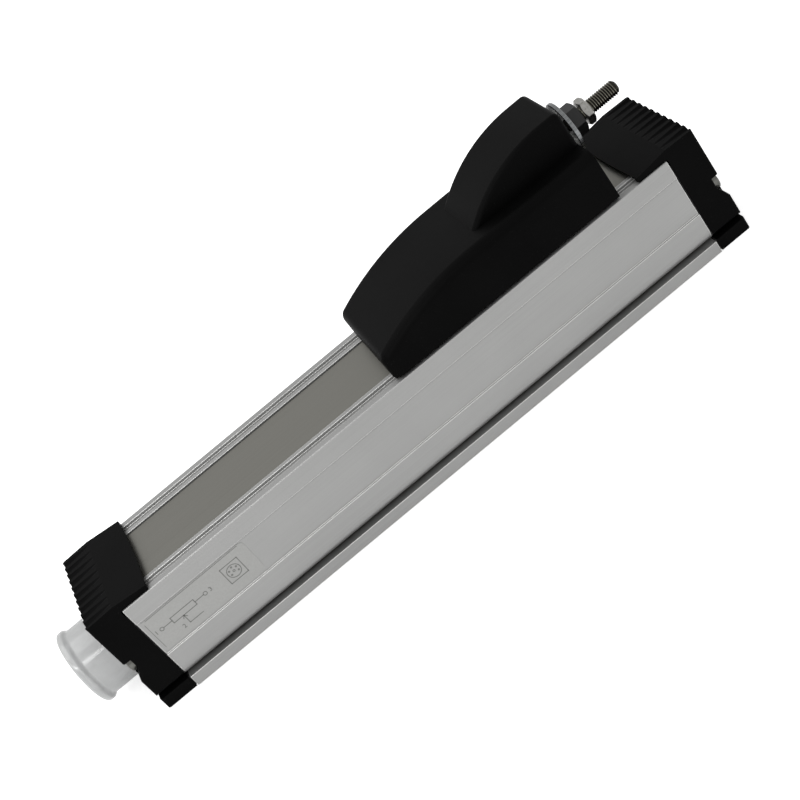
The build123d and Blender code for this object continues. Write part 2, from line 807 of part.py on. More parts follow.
# Base plate that closes the slider and carries the shoes and blades
peg_x = slider_wall + shoe_peg_inset + shoe_peg_length / 2
shoe_y = (guide_near + guide_far) / 2
shoe_half_width = (guide_far - guide_near) / 2 - guide_draft - running_gap
blade_y = lip_half_width - blade_gap - blade_thickness / 2
with BuildPart() as slider_base:
    with BuildSketch(Plane.XY.offset(slider_bottom)):
        with Locations((slider_rest, 0)):
            RectangleRounded(slider_length - 2 * (slider_wall + seat_gap),
                             2 * (slider_half_width - slider_wall - seat_gap), seat_gap)
            with GridLocations(1, 2 * blade_y, 1, 2):
                Rectangle(blade_length, blade_thickness, mode=Mode.SUBTRACT)
    extrude(amount=base_thickness)
    with BuildSketch(Plane.XY.offset(slider_bottom)):
        with Locations((slider_rest, 0)):
            with GridLocations(slider_length - 2 * peg_x, 2 * shoe_y, 2, 2):
                Rectangle(shoe_peg_length + 2 * running_gap, shoe_peg_width + 2 * running_gap)
    extrude(amount=shoe_peg_height + running_gap, mode=Mode.SUBTRACT)
    with Locations(Plane.XY.offset(slider_bottom).rotated((180, 0, 0))):
        with Locations((slider_rest, 0)):
            with GridLocations(slider_length - 2 * base_screw_x, 2 * base_screw_y, 2, 2):
                CounterSinkHole(base_screw_radius + running_gap, base_screw_head + running_gap)
slider_base.part.label = "slider_base"
export_step(slider_base.part, "parts/slider_base.step")

# Four shoes that run in the guide grooves
shoe_low = profile_height - guide_depth + running_gap
with BuildPart() as guide_shoes:
    with BuildSketch(Plane.XY.offset(shoe_low)):
        with Locations((slider_rest, 0)):
            with GridLocations(slider_length - 2 * shoe_inset - shoe_length, 2 * shoe_y, 2, 2):
                Rectangle(shoe_length, 2 * shoe_half_width)
    extrude(amount=slider_bottom - shoe_low)
    fillet(guide_shoes.edges().filter_by(Axis.Z), shoe_round)
    with BuildSketch(Plane.XY.offset(slider_bottom)):
        with Locations((slider_rest, 0)):
            with GridLocations(slider_length - 2 * peg_x, 2 * shoe_y, 2, 2):
                Rectangle(shoe_peg_length, shoe_peg_width)
    extrude(amount=shoe_peg_height)
guide_shoes.part.label = "guide_shoes"
export_step(guide_shoes.part, "parts/guide_shoes.step")

# Countersunk screws from below the base plate
with BuildPart() as slider_screws:
    head_depth = base_screw_head - base_screw_radius
    with Locations((slider_rest, 0)):
        with GridLocations(slider_length - 2 * base_screw_x, 2 * base_screw_y, 2, 2):
            with Locations((0, 0, slider_bottom + base_screw_length / 2)):
                Cylinder(base_screw_radius, base_screw_length)
            with Locations((0, 0, slider_bottom + head_depth / 2)):
                Cone(base_screw_head, base_screw_radius, head_depth)
slider_screws.part.label = "slider_screws"
export_step(slider_screws.part, "parts/slider_screws.step")

# Thin steel blades that pass the band's edges and draw the wiper carrier
with BuildPart() as drag_blades:
    with BuildSketch(Plane.XY.offset(blade_low)):
        with Locations((slider_rest, 0)):
            with GridLocations(1, 2 * blade_y, 1, 2):
                Rectangle(blade_length, blade_thickness)
    extrude(amount=base_top - blade_low)
drag_blades.part.label = "drag_blades"
export_step(drag_blades.part, "parts/drag_blades.step")

# Plastic carrier under the rail lips
carrier_height = carrier_top - carrier_bottom
with BuildPart() as wiper_carrier:
    with BuildSketch(Plane.XY.offset(carrier_bottom)):
        with Locations((slider_rest, 0)):
            RectangleRounded(carrier_length, 2 * (upper_half_width - carrier_gap), wall_thickness)
    extrude(amount=carrier_height)
    with BuildSketch(Plane.XY.offset(blade_low)):
        with Locations((slider_rest, 0)):
            with GridLocations(1, 2 * blade_y, 1, 2):
                Rectangle(blade_length, blade_thickness)
    extrude(amount=carrier_top - blade_low, mode=Mode.SUBTRACT)
    # Recess that lightens the carrier from above
    with BuildSketch(Plane.XY.offset(carrier_top)):
        with Locations((slider_rest, 0)):
            RectangleRounded(carrier_length - 4 * wall_thickness,
                             2 * (blade_y - 2 * wall_thickness), wall_thickness)
    extrude(amount=-carrier_height / 2, mode=Mode.SUBTRACT)
wiper_carrier.part.label = "wiper_carrier"
export_step(wiper_carrier.part, "parts/wiper_carrier.step")

# Multi-finger wipers under the carrier, one over each track
for name, y in (("track_wiper", -track_y), ("collector_wiper", track_y)):
    with BuildPart() as wiper:
        contact_z = track_top + cup_gap + wiper_thickness
        root_x = slider_rest + wiper_reach / 2
        tip_x = root_x - wiper_reach
        with BuildSketch(Plane.XZ.offset(-y)):
            with BuildLine():
                Polyline(
                    (root_x, carrier_bottom),
                    (root_x, carrier_bottom - wiper_thickness),
                    (tip_x, contact_z - wiper_thickness),
                    (tip_x - wiper_toe, contact_z + wiper_toe),
                    (tip_x - wiper_toe, contact_z + wiper_toe + wiper_thickness),
                    (tip_x, contact_z),
                    (root_x, carrier_bottom),
                )
            make_face()
        extrude(amount=wiper_width / 2, both=True)
    with BuildPart() as fingers:
        with GridLocations(1, wiper_pitch, 1, wiper_fingers):
            add(wiper.part)
        with BuildSketch(Plane.XY.offset(carrier_bottom)):
            with Locations((root_x + wiper_plate / 2, y)):
                Rectangle(wiper_plate, wiper_pitch * (wiper_fingers - 1) + wiper_width)
        extrude(amount=-wiper_thickness)
    fingers.part.label = name
    export_step(fingers.part, f"parts/{name}.step")

# Rear half of the ball socket, seated at the bottom of the bore
seat_radius = cup_radius + seat_radius_gap
ball_centre = (ball_x, 0, ball_z)
with BuildPart() as socket_insert:
    with BuildSketch(Plane.YZ.offset(ball_x - socket_back)):
        with Locations((0, ball_z)):
            Circle(socket_body_radius)
    extrude(amount=socket_back)
    with Locations(ball_centre):
        Sphere(seat_radius, mode=Mode.SUBTRACT)
socket_insert.part.label = "socket_insert"
export_step(socket_insert.part, "parts/socket_insert.step")

# Front ring that closes the socket
with BuildPart() as socket_ring:
    with BuildSketch(Plane.YZ.offset(ball_x)):
        with Locations((0, ball_z)):
            Circle(socket_body_radius)
    extrude(amount=ball_inset)
    with Locations(ball_centre):
        Sphere(seat_radius, mode=Mode.SUBTRACT)
    with BuildSketch(Plane.YZ.offset(ball_x)):
        with Locations((0, ball_z)):
            Circle(socket_mouth)
    extrude(amount=ball_inset, mode=Mode.SUBTRACT)
    mouth = socket_ring.edges().filter_by(GeomType.CIRCLE).group_by(Axis.X)[-1]
    chamfer(mouth.sort_by(SortBy.RADIUS)[0], mouth_chamfer)
socket_ring.part.label = "socket_ring"
export_step(socket_ring.part, "parts/socket_ring.step")

# Low-friction cup between the ball and its socket
with BuildPart() as ball_cup:
    with Locations(ball_centre):
        Sphere(cup_radius)
        Sphere(ball_radius + cup_gap, mode=Mode.SUBTRACT)
    with BuildSketch(Plane.YZ.offset(ball_x - cup_back)):
        with Locations((0, ball_z)):
            Circle(cup_radius + overcut)
    extrude(amount=cup_back + cup_front, mode=Mode.INTERSECT)
ball_cup.part.label = "ball_cup"
export_step(ball_cup.part, "parts/ball_cup.step")

# Ball stud: full size at the disc and at its free end, and the thread's core inside the nuts
disc_x = slider_right + stud_shoulder
nuts_x = disc_x + disc_thickness
lock_nut_x = nuts_x + spacer_nut_thickness + nut_spacing
thread_x = lock_nut_x + hex_nut_thickness + thread_start
stud_tip = slider_right + stud_reach
with BuildPart() as ball_stud:
    with Locations(ball_centre):
        Sphere(ball_radius)
    with BuildSketch(Plane.YZ.offset(ball_x)):
        with Locations((0, ball_z)):
            Circle(neck_radius)
    extrude(amount=disc_x - ball_x)
    with BuildSketch(Plane.YZ.offset(disc_x)):
        with Locations((0, ball_z)):
            Circle(stud_radius)
    extrude(amount=disc_thickness)
    with BuildSketch(Plane.YZ.offset(nuts_x)):
        with Locations((0, ball_z)):
            Circle(thread_core_radius)
    extrude(amount=thread_x - nuts_x)
    with BuildSketch(Plane.YZ.offset(thread_x)):
        with Locations((0, ball_z)):
            Circle(stud_radius)
    extrude(amount=stud_tip - thread_x)
    tip_rim = ball_stud.edges().filter_by(GeomType.CIRCLE).group_by(Axis.X)[-1]
    chamfer(tip_rim, stud_chamfer)
ball_stud.part.label = "ball_stud"
export_step(ball_stud.part, "parts/ball_stud.step")

# Disc on the stud
with BuildPart() as stud_disc:
    with BuildSketch(Plane.YZ.offset(disc_x)):
        with Locations((0, ball_z)):
            Circle(disc_radius)
            Circle(stud_radius + running_gap, mode=Mode.SUBTRACT)
    extrude(amount=disc_thickness)
    rims = stud_disc.edges().filter_by(GeomType.CIRCLE).group_by(SortBy.RADIUS)[-1]
    chamfer(rims, disc_chamfer)
stud_disc.part.label = "stud_disc"
export_step(stud_disc.part, "parts/stud_disc.step")


def hex_nut(start, width, thickness):
    """Hexagon nut on the stud with its corners turned off on both faces."""
    with BuildPart() as nut:
        with BuildSketch(Plane.YZ.offset(start)):
            with Locations((0, ball_z)):
                RegularPolygon(width / 2, 6, major_radius=False)
        extrude(amount=thickness)
        with BuildSketch(Plane.XZ):
            with BuildLine():
                corner_z = ball_z + width / sqrt(3)
                face_z = ball_z + width / 2 - nut_face_inset
                Polyline(
                    (start, ball_z),
                    (start, face_z),
                    (start + nut_bevel, corner_z),
                    (start + thickness - nut_bevel, corner_z),
                    (start + thickness, face_z),
                    (start + thickness, ball_z),
                    (start, ball_z),
                )
            make_face()
        revolve(axis=Axis((0, 0, ball_z), (1, 0, 0)), mode=Mode.INTERSECT)
        with BuildSketch(Plane.YZ.offset(start)):
            with Locations((0, ball_z)):
                Circle(thread_core_radius + running_gap)
        extrude(amount=thickness, mode=Mode.SUBTRACT)
    return nut


# Black nut against the disc and bright lock nut in front of it
black_nut = hex_nut(nuts_x, spacer_nut_width, spacer_nut_thickness)
black_nut.part.label = "black_nut"
export_step(black_nut.part, "parts/black_nut.step")

lock_nut = hex_nut(lock_nut_x, hex_nut_width, hex_nut_thickness)
lock_nut.part.label = "lock_nut"
export_step(lock_nut.part, "parts/lock_nut.step")
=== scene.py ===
# %% [markdown]
# # Dressing a linear potentiometer
#
# A linear potentiometer turns the place of a slider into a voltage. This one has an extruded aluminium
# housing, a steel band over its slot, two moulded end caps and a domed slider with a ball-jointed stud.
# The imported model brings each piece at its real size, so this lesson adds finishes, the screw threads,
# the print on the label, and a small studio with a camera.

import bpy
import json
import math
from mathutils import Matrix, Vector


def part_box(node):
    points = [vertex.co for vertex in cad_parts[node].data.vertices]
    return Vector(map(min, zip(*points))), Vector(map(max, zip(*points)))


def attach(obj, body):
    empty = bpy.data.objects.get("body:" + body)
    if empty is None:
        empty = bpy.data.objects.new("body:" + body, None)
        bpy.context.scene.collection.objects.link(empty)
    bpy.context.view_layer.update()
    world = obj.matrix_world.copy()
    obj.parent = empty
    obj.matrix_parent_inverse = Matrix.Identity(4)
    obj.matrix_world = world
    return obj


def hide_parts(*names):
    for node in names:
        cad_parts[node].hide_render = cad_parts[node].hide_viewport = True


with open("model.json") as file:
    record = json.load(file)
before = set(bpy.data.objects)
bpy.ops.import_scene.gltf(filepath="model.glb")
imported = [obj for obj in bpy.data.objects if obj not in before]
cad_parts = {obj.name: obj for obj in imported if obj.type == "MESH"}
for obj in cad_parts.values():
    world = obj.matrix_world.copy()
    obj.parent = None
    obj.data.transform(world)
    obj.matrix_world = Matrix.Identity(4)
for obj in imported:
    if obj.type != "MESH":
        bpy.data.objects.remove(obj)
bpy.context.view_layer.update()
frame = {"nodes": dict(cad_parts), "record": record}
nodes = frame["nodes"]
MM = 0.001
print("pieces in the frame:", len(nodes))

# %% [markdown]
# ## Colours and shader nodes
#
# Colours are written as they look on a screen, in hex, and turned to the linear numbers that the shaders
# need. One small function adds a shader node, sets its values and links its inputs, so that each finish
# below reads from top to bottom.

# %% Colours and nodes
def linear(hex_colour):
    """A screen colour such as "9e9e9c" as linear red, green, blue and alpha."""
    channels = [int(hex_colour[i:i + 2], 16) / 255 for i in (0, 2, 4)]
    return [c / 12.92 if c <= 0.04045 else ((c + 0.055) / 1.055) ** 2.4 for c in channels] + [1.0]


def node(tree, kind, settings=None, **inputs):
    """Adds a shader node. Inputs are values, or sockets to link; settings are the node's own options."""
    made = tree.nodes.new(kind)
    for name, value in (settings or {}).items():
        setattr(made, name, value)
    for name, value in inputs.items():
        socket = made.inputs[int(name[1:])] if name[0] == "i" and name[1:].isdigit() else (
            made.inputs[name.replace("_", " ")])
        if isinstance(value, bpy.types.NodeSocket):
            tree.links.new(value, socket)
        else:
            socket.default_value = value
    return made


def new_finish(name):
    """An empty material with its output, ready for a shader."""
    material = bpy.data.materials.new(name)
    material.use_nodes = True
    material.node_tree.nodes.clear()
    output = material.node_tree.nodes.new("ShaderNodeOutputMaterial")
    return material, material.node_tree, output


print("mid grey 808080 in linear numbers:", [round(c, 3) for c in linear("808080")[:3]])

# %% [markdown]
# Each finish is driven by noise. The noise could follow a UV map, but Object coordinates need no unwrapping
# and keep the grain at its real size. Where one noise sets the colour, the roughness and the bump together, a
# mark shows in all three, as it does on a real surface.

# %% Patterns
def grain_noise(tree, scale, detail=3.0, rough=0.5):
    """Soft noise on the piece itself, with so many marks per metre along each axis."""
    place = node(tree, "ShaderNodeTexCoord")
    scaled = node(tree, "ShaderNodeMapping", Vector=place.outputs["Object"], Scale=scale)
    return node(tree, "ShaderNodeTexNoise", Vector=scaled.outputs["Vector"], Scale=1.0, Detail=detail,
                Roughness=rough)


def two_tone(tree, pattern, dark, light, low=0.3, high=0.7):
    """Two colours that run softly into each other where a pattern goes from low to high."""
    share = node(tree, "ShaderNodeMapRange", Value=pattern, From_Min=low, From_Max=high)
    return node(tree, "ShaderNodeMix", {"data_type": "RGBA"}, i0=share.outputs["Result"],
                i6=linear(dark), i7=linear(light)).outputs[2]


finishes = {}


def keep(slot, material):
    """Files a finish under its slot, and prints what it is."""
    finishes[slot] = material
    print(slot, "is", material.name, "with", len(material.node_tree.nodes), "nodes")


print("marks per metre for a 0.3 mm grain:", round(1 / (0.3 * MM)))

# %% [markdown]
# ## Finishes
#
# Every finish is named for the real one. Each starts from the typical roughness and IOR of its material.
# A pattern's scale is one over its real size, so a 0.3 mm grain has about 3300 marks per metre.
#
# The housing is extruded, etched and clear anodised: satin grey, with faint draw lines along it. Noise that
# is stretched along X gives the lines. Real ones are under 0.1 mm wide, which would not show, so they are
# drawn about 0.4 mm wide. The edges could be bevelled in the mesh, but the Bevel node rounds
# them for the light and leaves the imported piece as it is. Where it turns the surface, a near white is mixed
# into the colour: a painted highlight along every edge. Ambient Occlusion finds the inner corners and steps,
# and a darker grey is mixed in there as painted shade. It looks at the housing alone, so the slider leaves
# no painted shade on the rails when it moves away.

# %% Anodised aluminium of the housing
EDGE_ROUND = 0.3
SHADE_REACH = 0.9


def anodised_aluminium():
    """Satin grey with draw lines, a painted highlight on the edges and painted shade in the inner corners."""
    material, tree, output = new_finish("clear anodised extrusion")
    lines = grain_noise(tree, (12, 2600, 2600), rough=0.6)
    cloud = grain_noise(tree, (30, 30, 30), detail=2.0)
    etch = grain_noise(tree, (5000, 5000, 5000), detail=2.0)
    tone = node(tree, "ShaderNodeMath", {"operation": "ADD"}, i0=lines.outputs["Fac"],
                i1=cloud.outputs["Fac"])
    half = node(tree, "ShaderNodeMath", {"operation": "MULTIPLY"}, i0=tone.outputs[0], i1=0.5)
    edges = node(tree, "ShaderNodeBevel", {"samples": 6}, Radius=EDGE_ROUND * MM)
    flat = node(tree, "ShaderNodeNewGeometry")
    turned = node(tree, "ShaderNodeVectorMath", {"operation": "DOT_PRODUCT"}, i0=edges.outputs["Normal"],
                  i1=flat.outputs["Normal"])
    # Painted highlight: where the Bevel normal turns away from the surface, near white f0f0ee is mixed into
    # the colour.
    highlight_share = node(tree, "ShaderNodeMapRange", Value=turned.outputs["Value"], From_Min=1.0, From_Max=0.92)
    # Painted shade: where Ambient Occlusion finds an inner corner or step, the darker grey 757573 is mixed
    # into the colour.
    hidden = node(tree, "ShaderNodeAmbientOcclusion", {"samples": 6, "only_local": True},
                  Distance=SHADE_REACH * MM)
    painted_shade_share = node(tree, "ShaderNodeMapRange", Value=hidden.outputs["AO"], From_Min=0.95, From_Max=0.5)
    grain = node(tree, "ShaderNodeBump", Strength=0.12, Distance=0.04 * MM, Height=etch.outputs["Fac"],
                 Normal=edges.outputs["Normal"])
    draw = node(tree, "ShaderNodeBump", Strength=0.1, Distance=0.05 * MM, Height=lines.outputs["Fac"],
                Normal=grain.outputs["Normal"])
    face = two_tone(tree, half.outputs[0], "989897", "a2a2a1")
    with_painted_shade = node(tree, "ShaderNodeMix", {"data_type": "RGBA"}, i0=painted_shade_share.outputs["Result"], i6=face,
                 i7=linear("757573"))
    colour = node(tree, "ShaderNodeMix", {"data_type": "RGBA"}, i0=highlight_share.outputs["Result"],
                  i6=with_painted_shade.outputs[2], i7=linear("f0f0ee"))
    sheen = node(tree, "ShaderNodeMapRange", Value=cloud.outputs["Fac"], To_Min=0.4, To_Max=0.46)
    shader = node(tree, "ShaderNodeBsdfPrincipled", Base_Color=colour.outputs[2], Metallic=0.75,
                  Roughness=sheen.outputs["Result"], Normal=draw.outputs["Normal"])
    tree.links.new(shader.outputs["BSDF"], output.inputs["Surface"])
    return material


keep("anodised_aluminium", anodised_aluminium())

# %% [markdown]
# The band over the slot and the clamps at its ends are cold rolled spring strip. It is greyer than the
# housing, with fine rolling lines, which are drawn about 0.25 mm wide to show at all. An anisotropic shader
# could stretch its highlight along them, but noise stretched along X does that with a bump, and varies the
# colour and the roughness too.

# %% Rolled steel of the band and the clamps
def rolled_steel():
    """Grey strip with rolling lines along X."""
    material, tree, output = new_finish("cold rolled spring strip")
    lines = grain_noise(tree, (8, 4200, 4200), detail=4.0, rough=0.65)
    roll = node(tree, "ShaderNodeBump", Strength=0.1, Distance=0.02 * MM, Height=lines.outputs["Fac"])
    sheen = node(tree, "ShaderNodeMapRange", Value=lines.outputs["Fac"], To_Min=0.36, To_Max=0.44)
    shader = node(tree, "ShaderNodeBsdfPrincipled",
                  Base_Color=two_tone(tree, lines.outputs["Fac"], "72716b", "7b7a74"),
                  Metallic=0.85, Roughness=sheen.outputs["Result"], Normal=roll.outputs["Normal"])
    tree.links.new(shader.outputs["BSDF"], output.inputs["Surface"])
    return material


keep("band_steel", rolled_steel())

# %% [markdown]
# The end caps and the slider are injection moulded in black nylon with glass fibre. The mould was spark
# eroded, which leaves a fine grain of about 0.1 mm. It is drawn 0.3 mm wide, about a pixel of the picture,
# because a finer one would not show. Displacement could raise it, but at this size a bump is enough. The
# grain scatters most of the gloss, hence the low specular level.

# %% Glass-filled nylon of the caps and the slider
def filled_nylon():
    """Black plastic with a fine moulded grain and hardly any gloss."""
    material, tree, output = new_finish("black glass filled nylon")
    grain = grain_noise(tree, (3200, 3200, 3200), rough=0.55)
    flow = grain_noise(tree, (45, 45, 45))
    dents = node(tree, "ShaderNodeBump", Strength=0.25, Distance=0.06 * MM, Height=grain.outputs["Fac"])
    sheen = node(tree, "ShaderNodeMapRange", Value=grain.outputs["Fac"], To_Min=0.42, To_Max=0.58)
    shader = node(tree, "ShaderNodeBsdfPrincipled",
                  Base_Color=two_tone(tree, flow.outputs["Fac"], "040404", "070707"),
                  Roughness=sheen.outputs["Result"], IOR=1.53,
                  Specular_IOR_Level=0.03, Normal=dents.outputs["Normal"])
    tree.links.new(shader.outputs["BSDF"], output.inputs["Surface"])
    return material


keep("black_plastic", filled_nylon())

# %% [markdown]
# Screws, nuts, pins and the connector are plated or blackened metal. They differ only in their colour, their
# shine and the size of their marks, so one function makes them all. A plain mirror is the usual shortcut, but
# real plating is a little cloudy, so the marks change the roughness too.

# %% Plated and blackened metal
def plated(name, dark, light, rough, scale, metallic=1.0):
    """Plated metal with fine turning or polishing marks; scale is marks per metre along each axis."""
    material, tree, output = new_finish(name)
    marks = grain_noise(tree, scale)
    bump = node(tree, "ShaderNodeBump", Strength=0.15, Distance=0.03 * MM, Height=marks.outputs["Fac"])
    sheen = node(tree, "ShaderNodeMapRange", Value=marks.outputs["Fac"], To_Min=rough * 0.85,
                 To_Max=rough * 1.2)
    shader = node(tree, "ShaderNodeBsdfPrincipled",
                  Base_Color=two_tone(tree, marks.outputs["Fac"], dark, light), Metallic=metallic,
                  Roughness=sheen.outputs["Result"], Normal=bump.outputs["Normal"])
    tree.links.new(shader.outputs["BSDF"], output.inputs["Surface"])
    return material


keep("bright_steel", plated("zinc plated steel", "8f8e8a", "a8a7a3", 0.28, (1200, 1200, 1200)))
keep("contact_brass", plated("gold flashed brass", "c19a4b", "d3ad5e", 0.25, (900, 900, 900)))
keep("nickel_plate", plated("nickel plated brass", "aaa79d", "bcb9b0", 0.22, (700, 700, 700)))
keep("black_steel", plated("black oxide steel", "080808", "101010", 0.4, (900, 900, 900), 0.25))

# %% [markdown]
# The seals, the board, the printed tracks, the wires, the label's film and the acetal pieces are all opaque
# and plain. Each could have a tree of its own, but a fine grain in colour, roughness and bump suits them
# all, so they share one function and differ in its numbers.

# %% Plain plastics, rubber and board
def moulded(name, dark, light, rough, grain_per_metre, ior=1.5):
    """An opaque plastic or rubber with a fine grain."""
    material, tree, output = new_finish(name)
    grain = grain_noise(tree, (grain_per_metre, grain_per_metre, grain_per_metre))
    bump = node(tree, "ShaderNodeBump", Strength=0.2, Distance=0.05 * MM, Height=grain.outputs["Fac"])
    sheen = node(tree, "ShaderNodeMapRange", Value=grain.outputs["Fac"], To_Min=rough * 0.9,
                 To_Max=rough * 1.1)
    shader = node(tree, "ShaderNodeBsdfPrincipled",
                  Base_Color=two_tone(tree, grain.outputs["Fac"], dark, light),
                  Roughness=sheen.outputs["Result"], IOR=ior, Normal=bump.outputs["Normal"])
    tree.links.new(shader.outputs["BSDF"], output.inputs["Surface"])
    return material


keep("rubber", moulded("black nitrile rubber", "0a0a0a", "121212", 0.7, 1500))
keep("board_laminate", moulded("glass fibre laminate", "5f5128", "6d5e31", 0.5, 900))
keep("track_print", moulded("conductive plastic print", "0c0c0c", "141414", 0.35, 2500))
keep("wire_insulation", moulded("wire insulation", "8c1d18", "962320", 0.45, 700))
keep("label_film", moulded("polyester label film", "999997", "9f9f9d", 0.44, 2000))
keep("bearing_plastic", moulded("black acetal", "0d0d0d", "141414", 0.35, 1800))

# %% [markdown]
# The dust cap is soft natural polyethylene: milky and waxy, and a little light passes through it. Subsurface
# scattering could make it milky, but it needs many samples. A pale colour with some transmission looks much
# the same on a wall of 1.5 mm.

# %% Translucent polyethylene of the dust cap
def cloudy_polyethylene():
    """Milky white plastic with a soft waxy shine."""
    material, tree, output = new_finish("natural polyethylene")
    cloud = grain_noise(tree, (160, 160, 160))
    ripple = grain_noise(tree, (900, 900, 900), detail=2.0)
    wax = node(tree, "ShaderNodeBump", Strength=0.15, Distance=0.05 * MM, Height=ripple.outputs["Fac"])
    sheen = node(tree, "ShaderNodeMapRange", Value=cloud.outputs["Fac"], To_Min=0.11, To_Max=0.18)
    shader = node(tree, "ShaderNodeBsdfPrincipled",
                  Base_Color=two_tone(tree, cloud.outputs["Fac"], "cccdcd", "d9dada"),
                  Roughness=sheen.outputs["Result"], IOR=1.51,
                  Transmission_Weight=0.35, Normal=wax.outputs["Normal"])
    tree.links.new(shader.outputs["BSDF"], output.inputs["Surface"])
    return material


keep("clear_polyethylene", cloudy_polyethylene())

# %% [markdown]
# In the record each piece names the slot of its finish. Three pieces look different from the rest of their
# slot and get finishes of their own: the disc on the stud was turned and left bare, and the zinc on the
# screws of the end caps has dulled.

# %% Give each piece its finish
def dress(piece, finish):
    """Gives a piece one finish in place of what it had."""
    piece.data.materials.clear()
    piece.data.materials.append(finish)


for row in frame["record"]["subparts"]:
    dress(nodes[row["node"]], finishes[row["material_slot"]])

turned_steel = plated("turned steel", "6d6f70", "8b8d8e", 0.27, (60, 2600, 2600))
dull_zinc = plated("dulled zinc on steel", "5f5f5c", "6f6f6b", 0.24, (900, 900, 900), 0.9)
dress(nodes["stud_disc"], turned_steel)
dress(nodes["left_cap_screws"], dull_zinc)
dress(nodes["right_cap_screws"], dull_zinc)

# %% [markdown]
# ## Drawing and turning round pieces
#
# A turned piece is one outline spun round its axis. The outline could be a curve, but here it is drawn the
# way it is drawn by hand in edit mode: a single vertex is extruded from point to point. All points are in
# millimetres, measured from the piece's own axis.

# %% Draw an outline and turn it
TURN_STEPS = 64


def deselect():
    bpy.ops.object.select_all(action="DESELECT")


def choose(piece):
    """Selects one piece alone and makes it active."""
    deselect()
    piece.select_set(True)
    bpy.context.view_layer.objects.active = piece


def draw_line(name, origin, points):
    """A new object in edit mode: a line from point to point, given in mm from its origin."""
    deselect()
    bpy.ops.mesh.primitive_plane_add(size=MM, location=origin)
    piece = bpy.context.object
    piece.name = name
    bpy.ops.object.mode_set(mode="EDIT")
    bpy.ops.mesh.merge(type="CENTER")
    bpy.ops.transform.translate(value=Vector(points[0]) * MM)
    for here, there in zip(points, points[1:]):
        step = (Vector(there) - Vector(here)) * MM
        bpy.ops.mesh.extrude_region_move(TRANSFORM_OT_translate={"value": step})
    return piece


def weld():
    """In edit mode: joins vertices that lie on each other and turns all the faces outwards."""
    bpy.ops.mesh.select_all(action="SELECT")
    bpy.ops.mesh.remove_doubles(threshold=0.002 * MM)
    bpy.ops.mesh.normals_make_consistent(inside=False)
    bpy.ops.object.mode_set(mode="OBJECT")


def turn_outline(name, origin, outline, steps=TURN_STEPS):
    """A solid of revolution about the X axis through origin; outline is pairs of (along, radius)."""
    piece = draw_line(name, origin, [(along, 0, radius) for along, radius in outline])
    bpy.ops.mesh.select_all(action="SELECT")
    bpy.ops.mesh.spin(steps=steps, angle=math.tau, center=origin, axis=(1, 0, 0))
    weld()
    return piece


print("most that a turned circle of 10 mm radius is off, in mm:",
      round(10 * (1 - math.cos(math.pi / TURN_STEPS)), 3))

# %% [markdown]
# A screw thread is one tooth that winds along its axis. A Screw modifier does it: it turns the tooth's
# outline and moves it on by one pitch in each turn. The tooth has a flat crest, slanted flanks and a root
# that sinks a little into the core, so that the two meshes overlap and no gap shows between them.

# %% Wind a thread
TOOTH_SINK = 0.1
FOOT_SHARE, CREST_SHARE = 0.06, 0.42


def wind_thread(name, origin, start, root, crest, pitch, turns, steps=24):
    """A thread's ridge: one tooth, wound along X by a Screw modifier and closed at both ends."""
    sunk = root - TOOTH_SINK
    tooth = [(start, sunk), (start + FOOT_SHARE * pitch, root), (start + CREST_SHARE * pitch, crest),
             (start + (1 - CREST_SHARE) * pitch, crest), (start + (1 - FOOT_SHARE) * pitch, root),
             (start + pitch, sunk), (start, sunk)]
    piece = draw_line(name, origin, [(along, 0, radius) for along, radius in tooth])
    weld()
    screw = piece.modifiers.new("wind", "SCREW")
    screw.axis = "X"
    screw.screw_offset = pitch * MM
    screw.iterations = turns
    screw.steps = steps
    screw.render_steps = steps
    choose(piece)
    bpy.ops.object.modifier_apply(modifier=screw.name)
    bpy.ops.object.mode_set(mode="EDIT")
    bpy.ops.mesh.select_all(action="SELECT")
    bpy.ops.mesh.fill_holes(sides=len(tooth))
    weld()
    return piece


print("share of the pitch that is flat crest:", round(1 - 2 * CREST_SHARE, 2))

# %% [markdown]
# Every new piece ends in the same way. Its parts are joined, its place goes into its mesh, sharp edges are
# kept by their angle, and it gets its finish and the body that it moves with.

# %% End a piece
def finish_piece(pieces, name, body, material, smooth=35):
    """Joins pieces into one, puts its place into its mesh, and gives it a body and a finish."""
    deselect()
    for piece in pieces:
        piece.select_set(True)
    bpy.context.view_layer.objects.active = pieces[0]
    if len(pieces) > 1:
        bpy.ops.object.join()
    whole = bpy.context.object
    whole.name = name
    bpy.ops.object.transform_apply(location=True, rotation=True, scale=True)
    bpy.ops.object.shade_smooth_by_angle(angle=math.radians(smooth))
    dress(whole, material)
    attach(whole, body)
    box = [round(v / MM, 1) for v in whole.dimensions]
    print(name, "faces:", len(whole.data.polygons), "box in mm:", box)
    return whole
